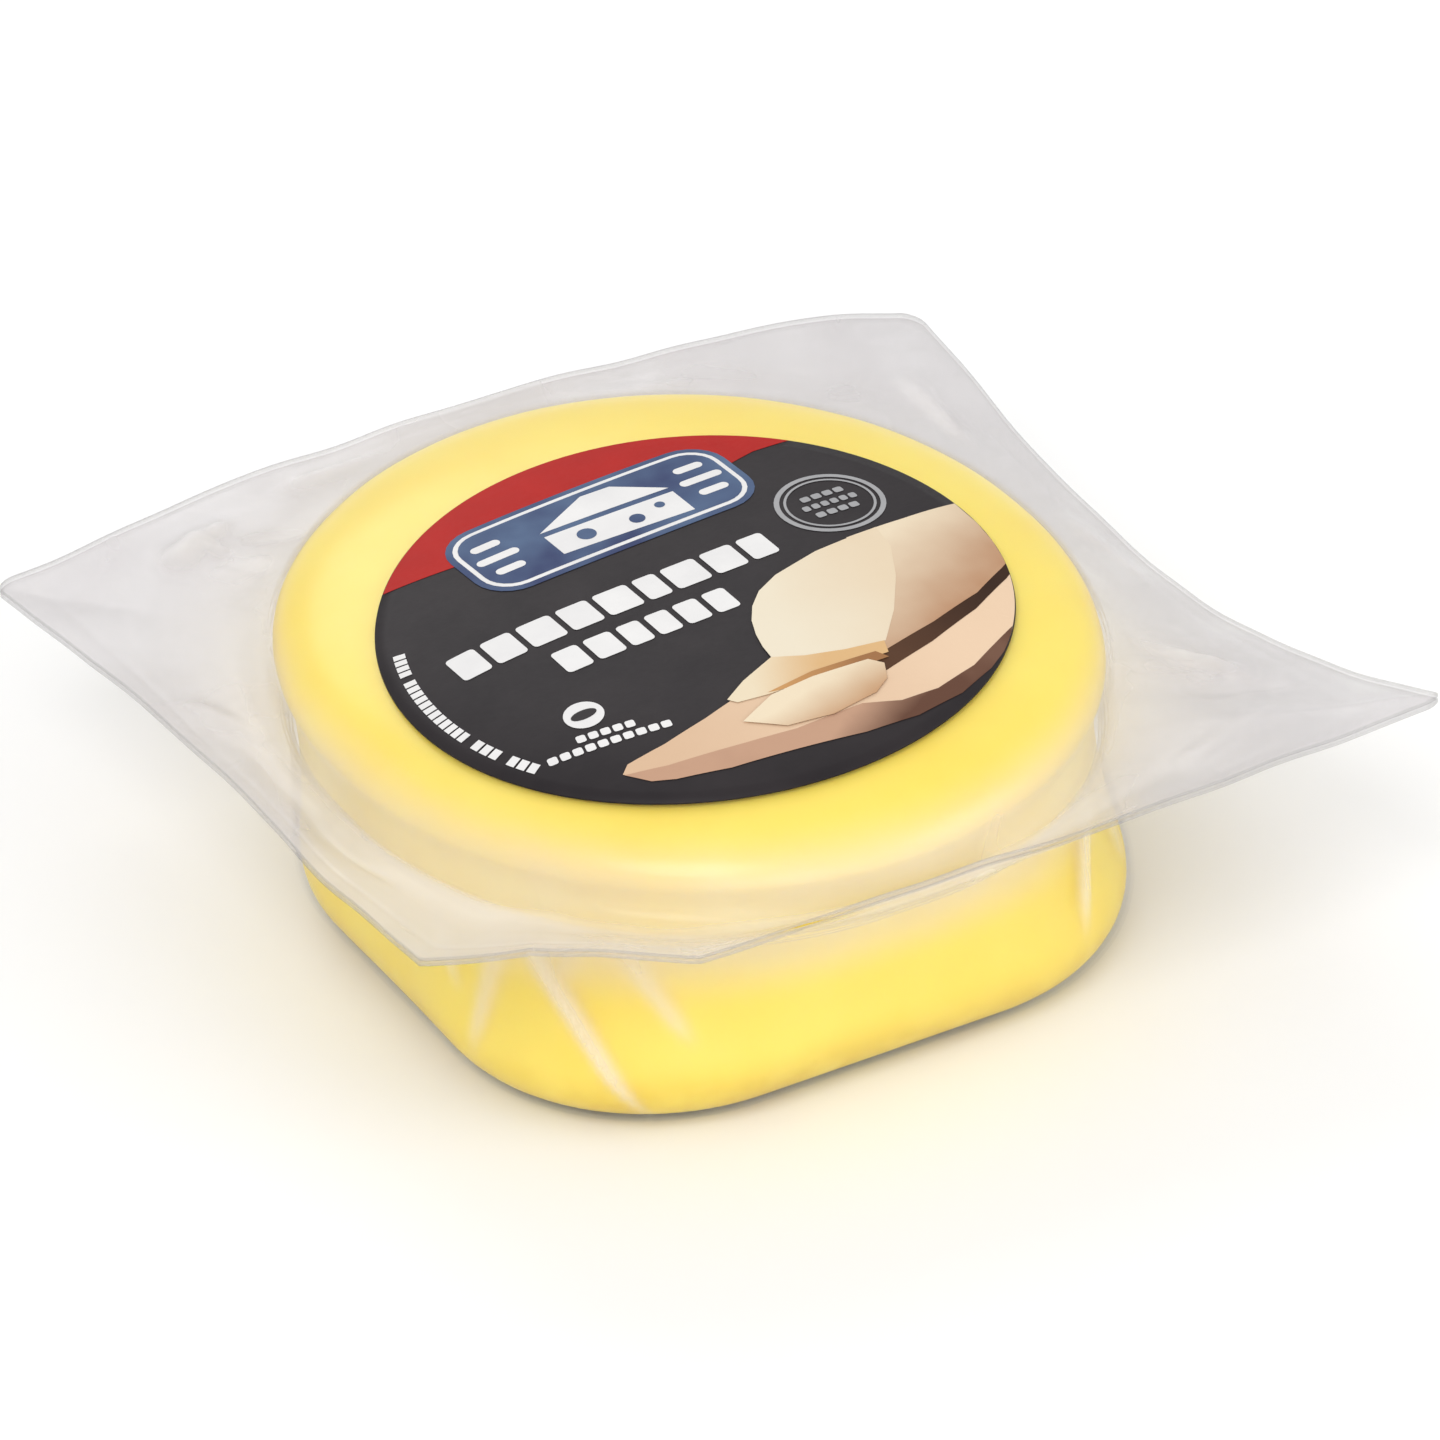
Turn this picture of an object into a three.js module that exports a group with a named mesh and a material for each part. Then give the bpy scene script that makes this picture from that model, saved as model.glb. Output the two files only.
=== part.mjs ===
// A round of provolone in its vacuum pack, in millimetres, +Z up. The pack is a formed lower film with a pocket
// and a square flange, a lid film drawn down over the cheese and sealed to that flange, and a round label.
// The origin is under the middle of the flange, on the surface that the pack stands on.
// The back left corner of the flange is at -X +Y, and the front right corner at +X -Y.
import * as THREE from "three";

// The films and the clearances between the pieces.
const FILM = 0.35;
const GAP = 0.3;

// The cheese: a pressed round, squarer near its foot, a little longer along Y near its top.
const CHEESE = {
  half: 46.4, // half its width at its widest level
  widest: 31.35, // height of that level above its foot
  dome: 8.6, // height of the top above that level
  domePower: 3.6, // 2 is an ellipse, and more gives a flatter top with a tighter shoulder
  taper: 5.4, // how much narrower the wall is where the foot's rounding begins
  footRound: new THREE.Vector2(8, 9), // the rounding at the foot, across and up
  footSquare: 0.58, // corner radius at the foot, as a share of the half width
  roundLevel: 29, // above this height it is fully round
  oval: 0.07,
  lean: new THREE.Vector2(-0.3, -3.9), // how far the foot stands off the middle of the top
  slope: new THREE.Vector2(0.02, 0.02), // how the top rises along X and Y
};

// The flange. The lid leaves the cheese at the widest level and turns out into the seal.
const FLANGE = {
  width: 10.6, // from the cheese's widest level out to a side of the square
  cornerRadius: 4,
  lidFillet: 4.5,
  pocketFillet: 2,
  // How its edge stands above the seal and out of its square, at the middle of the +X side, at the corner
  // after it, and so on round.
  rise: [-6.5, -3.4, 3, -2.8, 0.5, 4, 2, 3.8],
  stretch: [-3.5, 0, 0, 3.5, 0, 0, -0.8, 0.6],
};
const POCKET_CENTRE = new THREE.Vector2(-5.7, -4.3); // the flange is cut off centre round the pocket

// The front left corner of the flange is cut off straight, between two of its sides.
const CUT = {
  alongFront: 24, // where the cut meets the front side, measured from the corner
  alongLeft: 16,
};

const LABEL = {
  margin: 11.8, // how much smaller its radius is than the cheese's half width
  thickness: 0.25,
  centre: new THREE.Vector2(POCKET_CENTRE.x - 2, POCKET_CENTRE.y - 6.9),
};

// How finely the curved stretches are divided.
const SEGMENTS = 48;
const FLANGE_RINGS = 9;
const DOME_STEPS = 9;
const FOOT_STEPS = 5;
const WALL_STEPS = 3;
const FILLET_STEPS = 3;

const FOOT_LEVEL = FILM + GAP; // the cheese's foot stands on the lower film
const WIDEST_LEVEL = FOOT_LEVEL + CHEESE.widest;
const TOP_LEVEL = WIDEST_LEVEL + CHEESE.dome;
const WRAP = GAP + FILM; // from the cheese to the outside of a film
const SEAL_LEVEL = WIDEST_LEVEL - FLANGE.lidFillet - FILM - GAP / 2; // where the two films meet
const POCKET_TURN = SEAL_LEVEL - GAP / 2 - FILM - FLANGE.pocketFillet; // where the pocket turns out
const WALL_FOOT = FOOT_LEVEL + CHEESE.footRound.y;
const FLANGE_HALF = CHEESE.half + FLANGE.width;

const { clamp, lerp, smoothstep } = THREE.MathUtils;

// Points of an elliptical arc about (x, z), with the first point left out.
function arc(x, z, across, up, from, to, steps) {
  const curve = new THREE.EllipseCurve(x, z, across, up, from, to, to < from);
  return curve.getPoints(steps).slice(1);
}

// The half profile below the widest level, out at a distance off the cheese's surface, from the axis upwards.
function footProfile(off) {
  const wallFoot = CHEESE.half - CHEESE.taper;
  const flat = wallFoot - CHEESE.footRound.x;
  const points = [
    new THREE.Vector2(0, FOOT_LEVEL - off),
    new THREE.Vector2(flat, FOOT_LEVEL - off),
  ];
  const { x: across, y: up } = CHEESE.footRound;
  points.push(...arc(flat, WALL_FOOT, across + off, up + off, -Math.PI / 2, 0, FOOT_STEPS));
  return points;
}

// The wall's half width at a height between the foot's rounding and the widest level.
function wallHalf(z) {
  const share = clamp((z - WALL_FOOT) / (WIDEST_LEVEL - WALL_FOOT), 0, 1);
  return CHEESE.half - CHEESE.taper * (1 - share ** 1.8);
}

// Wall points from one height up to another, with the first left out.
function wallProfile(off, from, to) {
  return Array.from({ length: WALL_STEPS }, (_, i) => {
    const z = lerp(from, to, (i + 1) / WALL_STEPS);
    return new THREE.Vector2(wallHalf(z) + off, z);
  });
}

// The top, from just above the widest level to the axis.
function domeProfile(off) {
  return Array.from({ length: DOME_STEPS }, (_, i) => {
    const turn = ((i + 1) / DOME_STEPS) * (Math.PI / 2);
    const across = i + 1 === DOME_STEPS ? 0 : Math.cos(turn) ** (2 / CHEESE.domePower);
    const up = (CHEESE.dome + off) * Math.sin(turn);
    return new THREE.Vector2((CHEESE.half + off) * across, WIDEST_LEVEL + up);
  });
}

// The flange's rings at one height, from the lid's fillet out to the edge, the same for both films.
function flangeProfile(z) {
  const from = CHEESE.half + WRAP + FLANGE.lidFillet;
  return Array.from(
    { length: FLANGE_RINGS + 1 },
    (_, i) => new THREE.Vector2(lerp(from, FLANGE_HALF, i / FLANGE_RINGS), z),
  );
}

// The polar radius of a square with rounded corners.
function roundedSquare(half, cornerRadius, angle) {
  const quarter = Math.PI / 2;
  const off = Math.abs(angle - quarter * Math.round(angle / quarter));
  const centre = half - cornerRadius;
  if (half * Math.tan(off) <= centre) return half / Math.cos(off);
  const along = centre * (Math.cos(off) + Math.sin(off));
  return along + Math.sqrt(along * along - 2 * centre * centre + cornerRadius * cornerRadius);
}

// A value at an angle, from the values at the middles of the four sides and at the corners between them.
function around(values, angle) {
  const side = Math.round(angle / (Math.PI / 2));
  const off = Math.tan(angle - (side * Math.PI) / 2);
  const corner = 2 * side + Math.sign(off);
  return lerp(values[(2 * side + 8) % 8], values[(corner + 8) % 8], off * off);
}

// How far the flange's edge is from its middle at an angle, with the corner cut.
function edgeReach(angle) {
  const square = roundedSquare(FLANGE_HALF, FLANGE.cornerRadius, angle);
  const cutStart = new THREE.Vector2(CUT.alongFront - FLANGE_HALF, -FLANGE_HALF);
  const outward = new THREE.Vector2(-CUT.alongLeft, -CUT.alongFront).normalize();
  const towards = Math.cos(angle) * outward.x + Math.sin(angle) * outward.y;
  const cut = towards > 0 ? cutStart.dot(outward) / towards : Infinity;
  return Math.min(square, cut) + around(FLANGE.stretch, angle);
}

// Takes a point of the turned profile, at a radius, height and angle, to its place in the pack.
function place(radius, z, angle) {
  const rim = CHEESE.half + WRAP;
  const flange = clamp((radius - rim) / (FLANGE_HALF - rim), 0, 1);
  const low = 1 - smoothstep(z, 0, CHEESE.roundLevel);
  const turned = angle + flange * 0.19 * Math.sin(4 * angle); // more points near the flange's corners

  const body = Math.min(radius, rim);
  const corner = lerp(CHEESE.footSquare, 1, clamp(z / CHEESE.roundLevel, 0, 1));
  let reach = roundedSquare(body, corner * body, turned);
  reach *= 1 - CHEESE.oval * (1 - low) * Math.cos(2 * turned);
  if (flange > 0) reach = lerp(reach, edgeReach(turned), flange);

  const x = reach * Math.cos(turned) + (POCKET_CENTRE.x + CHEESE.lean.x * low) * (1 - flange);
  const y = reach * Math.sin(turned) + (POCKET_CENTRE.y + CHEESE.lean.y * low) * (1 - flange);
  const slope = (CHEESE.slope.x * x + CHEESE.slope.y * y) * (z / TOP_LEVEL) ** 2;
  const lift = around(FLANGE.rise, turned) * flange;
  return new THREE.Vector3(x, y, z + slope * (1 - flange) + lift);
}

// Turns a profile round the axis and puts every point in its place. A profile that starts on its solid's upper
// side has its triangles turned over, so that surfaces that face each other are divided in the same way.
function turnedSolid(profile, fromAbove = false) {
  const geometry = new THREE.LatheGeometry(profile, SEGMENTS);
  geometry.rotateX(Math.PI / 2);
  if (fromAbove) geometry.getIndex().array.reverse();
  const at = geometry.getAttribute("position");
  for (let i = 0; i < at.count; i++) {
    const x = at.getX(i);
    const y = at.getY(i);
    const point = place(Math.hypot(x, y), at.getZ(i), Math.atan2(y, x));
    at.setXYZ(i, point.x, point.y, point.z);
  }
  geometry.computeVertexNormals();
  return geometry;
}

// The height of the cheese's top under a point of the plan, raised by a distance.
function topHeight(x, y, off) {
  const dx = x - POCKET_CENTRE.x;
  const dy = y - POCKET_CENTRE.y;
  const angle = Math.atan2(dy, dx);
  const radius = Math.hypot(dx, dy) / (1 - CHEESE.oval * Math.cos(2 * angle));
  const share = Math.min(radius / (CHEESE.half + off), 1) ** CHEESE.domePower;
  const z = WIDEST_LEVEL + (CHEESE.dome + off) * Math.sqrt(1 - share);
  return z + (CHEESE.slope.x * x + CHEESE.slope.y * y) * (z / TOP_LEVEL) ** 2;
}

function cheese() {
  const profile = [
    ...footProfile(0),
    ...wallProfile(0, WALL_FOOT, POCKET_TURN),
    ...wallProfile(0, POCKET_TURN, WIDEST_LEVEL),
    ...domeProfile(0),
  ];
  return turnedSolid(profile);
}

// One side of the lower film, from the middle of the pocket out to the flange's edge.
function pocketSide(off, flangeZ) {
  const fillet = FLANGE.pocketFillet + (WRAP - off);
  const turnHalf = wallHalf(SEAL_LEVEL); // it turns out clear of the cheese, which widens above it
  const centreX = turnHalf + WRAP + FLANGE.pocketFillet;
  return [
    ...footProfile(off),
    ...wallProfile(off, WALL_FOOT, POCKET_TURN).slice(0, -1),
    new THREE.Vector2(turnHalf + off, POCKET_TURN),
    ...arc(centreX, POCKET_TURN, fillet, fillet, Math.PI, Math.PI / 2, FILLET_STEPS),
    ...flangeProfile(flangeZ),
  ];
}

function lowerFilm() {
  const outside = pocketSide(WRAP, SEAL_LEVEL - GAP / 2 - FILM);
  const inside = pocketSide(GAP, SEAL_LEVEL - GAP / 2);
  return turnedSolid([...inside, ...outside.reverse()], true);
}

// One side of the lid film, from the flange's edge in to the middle of the top.
function lidSide(off, flangeZ) {
  const fillet = FLANGE.lidFillet + (WRAP - off);
  const centreZ = SEAL_LEVEL + GAP / 2 + FILM + FLANGE.lidFillet;
  const centreX = CHEESE.half + WRAP + FLANGE.lidFillet;
  return [
    ...flangeProfile(flangeZ).reverse(),
    ...arc(centreX, centreZ, fillet, fillet, -Math.PI / 2, -Math.PI, FILLET_STEPS),
    ...domeProfile(off),
  ];
}

function lidFilm() {
  const outside = lidSide(WRAP, SEAL_LEVEL + GAP / 2 + FILM);
  const inside = lidSide(GAP, SEAL_LEVEL + GAP / 2);
  return turnedSolid([...inside.reverse(), ...outside]);
}

// The label is a disc laid on the lid film and bent to it.
function label() {
  const low = WRAP + GAP;
  const rings = 6;
  const radius = CHEESE.half - LABEL.margin;
  const lower = Array.from({ length: rings + 1 }, (_, i) => new THREE.Vector2((radius * i) / rings, 0));
  const upper = lower.map((p) => new THREE.Vector2(p.x, LABEL.thickness)).reverse();
  const geometry = new THREE.LatheGeometry([...lower, ...upper], SEGMENTS);
  geometry.rotateX(Math.PI / 2);
  const at = geometry.getAttribute("position");
  for (let i = 0; i < at.count; i++) {
    const x = at.getX(i) + LABEL.centre.x;
    const y = at.getY(i) + LABEL.centre.y;
    at.setXYZ(i, x, y, topHeight(x, y, low) + at.getZ(i));
  }
  geometry.computeVertexNormals();
  return geometry;
}

const clearFilm = { roughness: 0.2, metalness: 0, transparent: true, opacity: 0.4 };
const pack = new THREE.Group();
for (const [name, geometry, look] of [
  ["cheese", cheese(), { color: 0xf6de6a, roughness: 0.45, metalness: 0 }],
  ["pocket_film", lowerFilm(), { ...clearFilm, color: 0xe6e1e0 }],
  ["lid_film", lidFilm(), { ...clearFilm, color: 0xece8e6 }],
  ["label", label(), { color: 0x2a2828, roughness: 0.4, metalness: 0 }],
]) {
  const mesh = new THREE.Mesh(geometry, new THREE.MeshStandardMaterial(look));
  mesh.name = name;
  pack.add(mesh);
}

// The stretched sides take a little more off one side than the other, so the whole is centred last.
const reach = new THREE.Box3().setFromObject(pack);
pack.position.set(-(reach.min.x + reach.max.x) / 2, -(reach.min.y + reach.max.y) / 2, 0);

export default pack;
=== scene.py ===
import math

import bmesh
import bpy
import numpy as np
from mathutils import Matrix, Vector


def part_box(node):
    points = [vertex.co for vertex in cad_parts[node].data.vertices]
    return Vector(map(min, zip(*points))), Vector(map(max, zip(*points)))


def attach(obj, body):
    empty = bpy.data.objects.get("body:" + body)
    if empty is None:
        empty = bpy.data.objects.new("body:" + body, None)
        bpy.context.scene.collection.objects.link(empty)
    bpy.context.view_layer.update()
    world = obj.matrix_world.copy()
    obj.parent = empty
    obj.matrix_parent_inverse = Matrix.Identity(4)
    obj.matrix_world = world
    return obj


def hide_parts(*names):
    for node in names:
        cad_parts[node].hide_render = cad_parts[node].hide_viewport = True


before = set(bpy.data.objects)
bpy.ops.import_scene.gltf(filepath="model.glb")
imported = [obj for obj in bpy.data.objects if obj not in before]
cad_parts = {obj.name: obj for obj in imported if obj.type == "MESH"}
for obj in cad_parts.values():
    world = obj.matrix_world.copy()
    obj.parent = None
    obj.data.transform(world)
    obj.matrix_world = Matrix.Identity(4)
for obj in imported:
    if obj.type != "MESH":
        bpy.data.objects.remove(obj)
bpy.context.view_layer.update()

mm = 0.001

# the pressed round, in mm
cheese = {
    "half": 46.4,
    "foot": 0.65,  # height of its underside
    "widest": 32.0,  # height at which it is widest
    "dome": 8.6,
    "domePower": 3.6,
    "taper": 5.4,  # how much narrower the wall is at its foot
    "taperPower": 1.8,
    "footAcross": 8.0,
    "footUp": 9.0,
    "footSquare": 0.58,  # corner radius at the foot, as a share of the reach
    "roundLevel": 29.0,  # height from which the plan is fully round
    "oval": 0.07,
    "lean": (-0.3, -3.9),  # how far the foot lies from the top
    "slope": 0.02,
    "dent": 0.16,  # depth of the soft unevenness of its skin
    "dentLength": 34,
    "around": 288,
    "footRings": 9,
    "footSteps": 14,
    "wallSteps": 26,
    "domeSteps": 30,
}

film = {
    "thick": 0.35,
    "gap": 0.3,
    "around": 384,
    "flangeSteps": 30,
    "lidBendSteps": 8,
    "pocketBendSteps": 6,
    "glowReach": 6.0,  # mm over which the round lights up the flange
    "glowHanging": 34.0,  # the same where it hangs over the front
    "hangs": (-0.45, -0.89),  # the way that part lies from the middle
    "farMilk": 0.72,  # how milky the flange is away from the round, as a share
    "shoulderMilk": 0.6,
    "wallMilk": 0.8,
    "pressedLine": ((-45.6, -4), (-44.1, -25), 0.5),  # start, stop and width, on the shoulder
    "pressedDepth": 0.35,
    "seam": 0.8,  # where the seal's seam is, as a share out
    "seamWidth": 0.035,
    "seamDepth": 0.06,
}

flange = {
    "half": 57.0,
    "cornerRadius": 2.4,
    "cornerSpread": 0.19,  # turns mesh columns towards the corners
    "lidFillet": 4.5,
    "pocketFillet": 2.0,
    # side and corner values, from the right-hand side round by the back
    "rise": (-6.5, -3.4, 3.0, -2.8, 0.5, 4.0, 2.0, 3.8),
    "stretch": (-3.5, 0, 0, 3.5, 0, 0, -0.8, 0.6),
    "cutFront": 24.0,
    "cutLeft": 16.0,
    "ripple": 0.5,
    "rippleLength": 30,
    "ridgeEnd": 0.45,  # width of a ridge at its end, as a share
    "breakLength": 9,  # mm over which a whitened streak comes and goes
    "breaks": (0.4, 1.2),  # its least and most
}

label = {
    "radius": 34.3,
    "thick": 0.2,
    "offset": (-2.0, -6.9),  # from the pocket's middle
    "back": 0.6,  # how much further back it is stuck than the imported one
    "above": 0.04,  # over the film
    "edge": 0.05,  # rounding of its upper edge
    "rings": 22,
    "around": 240,
    "black": ((0.022, 0.019, 0.021), (0.034, 0.029, 0.031)),
}

pocketMiddle = np.array((-5.7, -4.3))

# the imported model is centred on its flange, so the same shift is read back from the label's place
labelLow, labelHigh = (Vector(corner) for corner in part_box("label"))
labelMiddle = (labelLow + labelHigh) / 2 / mm
shift = np.array(labelMiddle[:2]) - (pocketMiddle + label["offset"])

filmOut = film["gap"] + film["thick"]
wallFoot = cheese["foot"] + cheese["footUp"]
sealLevel = cheese["widest"] - flange["lidFillet"] - film["thick"] - film["gap"] / 2
pocketTurn = sealLevel - film["gap"] / 2 - film["thick"] - flange["pocketFillet"]


def smooth(value, low, high):
    share = np.clip((value - low) / (high - low), 0, 1)
    return share * share * (3 - 2 * share)


def mix(a, b, share):
    return a + (b - a) * share


def roundedSquare(half, corner, angle):
    # reach of a square with rounded corners, in a direction
    off = np.abs(angle - np.pi / 2 * np.round(angle / (np.pi / 2)))
    middle = half - corner
    along = middle * (np.cos(off) + np.sin(off))
    bend = along + np.sqrt(np.maximum(along**2 - 2 * middle**2 + corner**2, 0))
    return np.where(half * np.tan(off) <= middle, half / np.cos(off), bend)


def roundSides(values, angle):
    # goes smoothly round eight values, one for each side and each corner
    side = np.round(angle / (np.pi / 2)).astype(int)
    off = np.tan(angle - side * np.pi / 2)
    corner = 2 * side + np.sign(off).astype(int)
    values = np.array(values, float)
    return mix(values[(2 * side) % 8], values[corner % 8], off * off)


def edgeReach(angle):
    # how far the flange's edge is from its middle, with the front-left corner cut off straight
    half = flange["half"]
    square = roundedSquare(half, flange["cornerRadius"], angle)
    out = np.array((-flange["cutLeft"], -flange["cutFront"]))
    out /= np.linalg.norm(out)
    distance = np.dot((flange["cutFront"] - half, -half), out)
    towards = np.cos(angle) * out[0] + np.sin(angle) * out[1]
    least, farAway = 0.01, 1000.0
    cut = np.where(towards > least, distance / np.maximum(towards, least), farAway)
    return np.minimum(square, cut) + roundSides(flange["stretch"], angle)


def wallHalf(z):
    # half width of the round's wall at a height
    share = np.clip((z - wallFoot) / (cheese["widest"] - wallFoot), 0, 1)
    return cheese["half"] - cheese["taper"] * (1 - share ** cheese["taperPower"])


def place(radius, z, angle):
    # takes a turned profile to its real place: rounded square at the foot, oval above, flange outside;
    # radius and z are columns of mm, angle is a row
    rim = cheese["half"] + filmOut
    out = np.clip((radius - rim) / (flange["half"] - rim), 0, 1)
    low = 1 - smooth(z, 0, cheese["roundLevel"])
    turned = angle + out * flange["cornerSpread"] * np.sin(4 * angle)
    body = np.minimum(radius, rim)
    corner = mix(cheese["footSquare"], 1, np.clip(z / cheese["roundLevel"], 0, 1))
    reach = roundedSquare(body, corner * body, turned)
    reach = reach * (1 - cheese["oval"] * (1 - low) * np.cos(2 * turned))
    reach = mix(reach, edgeReach(turned), out)
    x = reach * np.cos(turned) + (pocketMiddle[0] + cheese["lean"][0] * low) * (1 - out)
    y = reach * np.sin(turned) + (pocketMiddle[1] + cheese["lean"][1] * low) * (1 - out)
    top = cheese["widest"] + cheese["dome"]
    slope = cheese["slope"] * (x + y) * (z / top) ** 2 * (1 - out)
    lift = roundSides(flange["rise"], turned) * out
    return np.stack((x + shift[0], y + shift[1], z + slope + lift + 0 * angle), -1), out


def arc(x, z, across, up, start, stop, steps):
    turn = np.linspace(start, stop, steps + 1)[1:]
    return [(x + across * math.cos(t), z + up * math.sin(t)) for t in turn]


def footProfile(off):
    flat = cheese["half"] - cheese["taper"] - cheese["footAcross"]
    base = cheese["foot"] - off
    floor = [(flat * share, base) for share in np.linspace(0, 1, cheese["footRings"]) ** 0.8]
    return floor + arc(flat, wallFoot, cheese["footAcross"] + off, cheese["footUp"] + off,
                       -math.pi / 2, 0, cheese["footSteps"])


def wallProfile(off, start, stop):
    levels = np.linspace(start, stop, cheese["wallSteps"] + 1)[1:]
    return [(float(wallHalf(z)) + off, z) for z in levels]


def domeProfile(off):
    points, steps = [], cheese["domeSteps"]
    for i in range(steps):
        turn = (i + 1) / steps * math.pi / 2
        across = 0 if i + 1 == steps else math.cos(turn) ** (2 / cheese["domePower"])
        points.append(((cheese["half"] + off) * across,
                       cheese["widest"] + (cheese["dome"] + off) * math.sin(turn)))
    return points


def flangeProfile(z):
    start = cheese["half"] + filmOut + flange["lidFillet"]
    return [(r, z) for r in np.linspace(start, flange["half"], film["flangeSteps"] + 1)]


def topHeight(x, y, off):
    # height of the round's top under row points, raised by off, in mm
    dx, dy = x - shift[0] - pocketMiddle[0], y - shift[1] - pocketMiddle[1]
    radius = np.hypot(dx, dy) / (1 - cheese["oval"] * np.cos(2 * np.arctan2(dy, dx)))
    share = np.minimum(radius / (cheese["half"] + off), 1) ** cheese["domePower"]
    z = cheese["widest"] + (cheese["dome"] + off) * np.sqrt(1 - share)
    top = cheese["widest"] + cheese["dome"]
    return z + cheese["slope"] * (x + y - shift.sum()) * (z / top) ** 2


def bodyFrom(points, faces, name, material, node=None, masks=None):
    # a piece of the object from points in mm, with the masks that its material reads
    mesh = bpy.data.meshes.new(name)
    mesh.from_pydata((np.asarray(points) * mm).tolist(), [], faces)
    mesh.update()
    for key, values in (masks or {}).items():
        mesh.attributes.new(key, "FLOAT", "POINT").data.foreach_set("value", np.asarray(values, float))
    mesh.shade_smooth()
    mesh.materials.append(material)
    piece = bpy.data.objects.new(name, mesh)
    bpy.context.collection.objects.link(piece)
    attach(piece, "root")
    if node:
        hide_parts(node)
    return piece


def turnedFaces(rows, columns):
    # faces of a grid that closes round and has one point on the axis at either end
    last = rows - 1
    tip = 1 + (last - 1) * columns

    def at(row, column):
        return 1 + (row - 1) * columns + column % columns

    faces = [(at(row, c), at(row, c + 1), at(row + 1, c + 1), at(row + 1, c))
             for row in range(1, last - 1) for c in range(columns)]
    faces += [(0, at(1, c + 1), at(1, c)) for c in range(columns)]
    faces += [(tip, at(last - 1, c), at(last - 1, c + 1)) for c in range(columns)]
    return faces


def turnedPoints(profile, columns):
    # points of a profile that starts and ends on the axis, and each point's out share and angle
    profile = np.array(profile, float)
    angle = (np.arange(columns) + 0.5) * 2 * np.pi / columns
    grid, out = place(profile[1:-1, :1], profile[1:-1, 1:], angle[None, :])
    start, stop = (place(np.array([[radius]]), np.array([[z]]), np.array([[0.0]]))[0][0, 0]
                   for radius, z in (profile[0], profile[-1]))
    out = np.broadcast_to(out, grid.shape[:2]).ravel()
    angles = np.broadcast_to(angle, grid.shape[:2]).ravel()
    points = np.concatenate(([start], grid.reshape(-1, 3), [stop]))
    return points, np.concatenate(([0], out, [0])), np.concatenate(([0], angles, [0]))


def ridge(x, y, start, stop, width, endWidth=None):
    # 1 on a line between two points, fading to 0 at a width from it and towards its ends
    start, stop = np.array(start, float), np.array(stop, float)
    line = stop - start
    length = np.linalg.norm(line)
    along = ((x - start[0]) * line[0] + (y - start[1]) * line[1]) / length**2
    across = ((x - start[0]) * line[1] - (y - start[1]) * line[0]) / length
    width = mix(width, endWidth or width, np.clip(along, 0, 1))
    ends = smooth(along, -0.15, 0.25) * (1 - smooth(along, 0.7, 1.1))
    return np.exp(-((across / width) ** 2)) * ends


def waves(points, scale, seed):
    # soft noise from a few plane waves in three octaves, about -1 to 1
    rng = np.random.default_rng(seed)
    total = np.zeros(len(points))
    for octave in range(3):
        for _ in range(5):
            direction = rng.normal(size=3)
            direction /= np.linalg.norm(direction)
            rate = 2 * np.pi / (scale / 1.7**octave) * rng.uniform(0.7, 1.3)
            total += np.sin(points @ direction * rate + rng.uniform(0, 6.28)) / 1.6**octave
    return total / 5


def newMaterial(name):
    material = bpy.data.materials.new(name)
    material.use_nodes = True
    tree = material.node_tree
    return material, tree, tree.nodes["Principled BSDF"]


def feed(tree, socket, value):
    # links an output to a socket, or sets a plain value on it
    if isinstance(value, bpy.types.NodeSocket):
        tree.links.new(value, socket)
    else:
        socket.default_value = value


def addNode(tree, kind, **settings):
    node = tree.nodes.new(kind)
    for key, value in settings.items():
        if key in node.inputs:
            feed(tree, node.inputs[key], value)
        else:
            setattr(node, key, value)
    return node


def maskNode(tree, name):
    # a mask that is painted on the mesh
    return addNode(tree, "ShaderNodeAttribute", attribute_name=name).outputs["Fac"]


def mixNode(tree, kind, factor, a, b):
    node = addNode(tree, "ShaderNodeMix", data_type=kind)
    for key, value in {"Factor": factor, "A": a, "B": b}.items():
        feed(tree, node.inputs[key], value)
    return node.outputs["Result"]


def mathNode(tree, operation, *values):
    node = addNode(tree, "ShaderNodeMath", operation=operation)
    for socket, value in zip(node.inputs, values):
        feed(tree, socket, value)
    return node.outputs[0]


def rangeNode(tree, value, start, stop):
    # takes a value from one range, a pair, to another
    node = addNode(tree, "ShaderNodeMapRange", Value=value)
    for key, amount in zip(("From Min", "From Max", "To Min", "To Max"), (*start, *stop)):
        node.inputs[key].default_value = amount
    return node.outputs["Result"]


def groupOf(name, inputs, outputs):
    # a node group whose inputs are colours where their value is a tuple, and floats otherwise
    group = bpy.data.node_groups.new(name, "ShaderNodeTree")
    for key, value in inputs.items():
        kind = "NodeSocketColor" if isinstance(value, tuple) else "NodeSocketFloat"
        group.interface.new_socket(key, in_out="INPUT", socket_type=kind).default_value = value
    for key, kind in outputs.items():
        group.interface.new_socket(key, in_out="OUTPUT", socket_type="NodeSocket" + kind)
    return group, group.nodes.new("NodeGroupInput").outputs, group.nodes.new("NodeGroupOutput").inputs


def useGroup(tree, group, **values):
    node = addNode(tree, "ShaderNodeGroup", node_tree=group)
    for key, value in values.items():
        node.inputs[key].default_value = value
    return node


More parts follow.
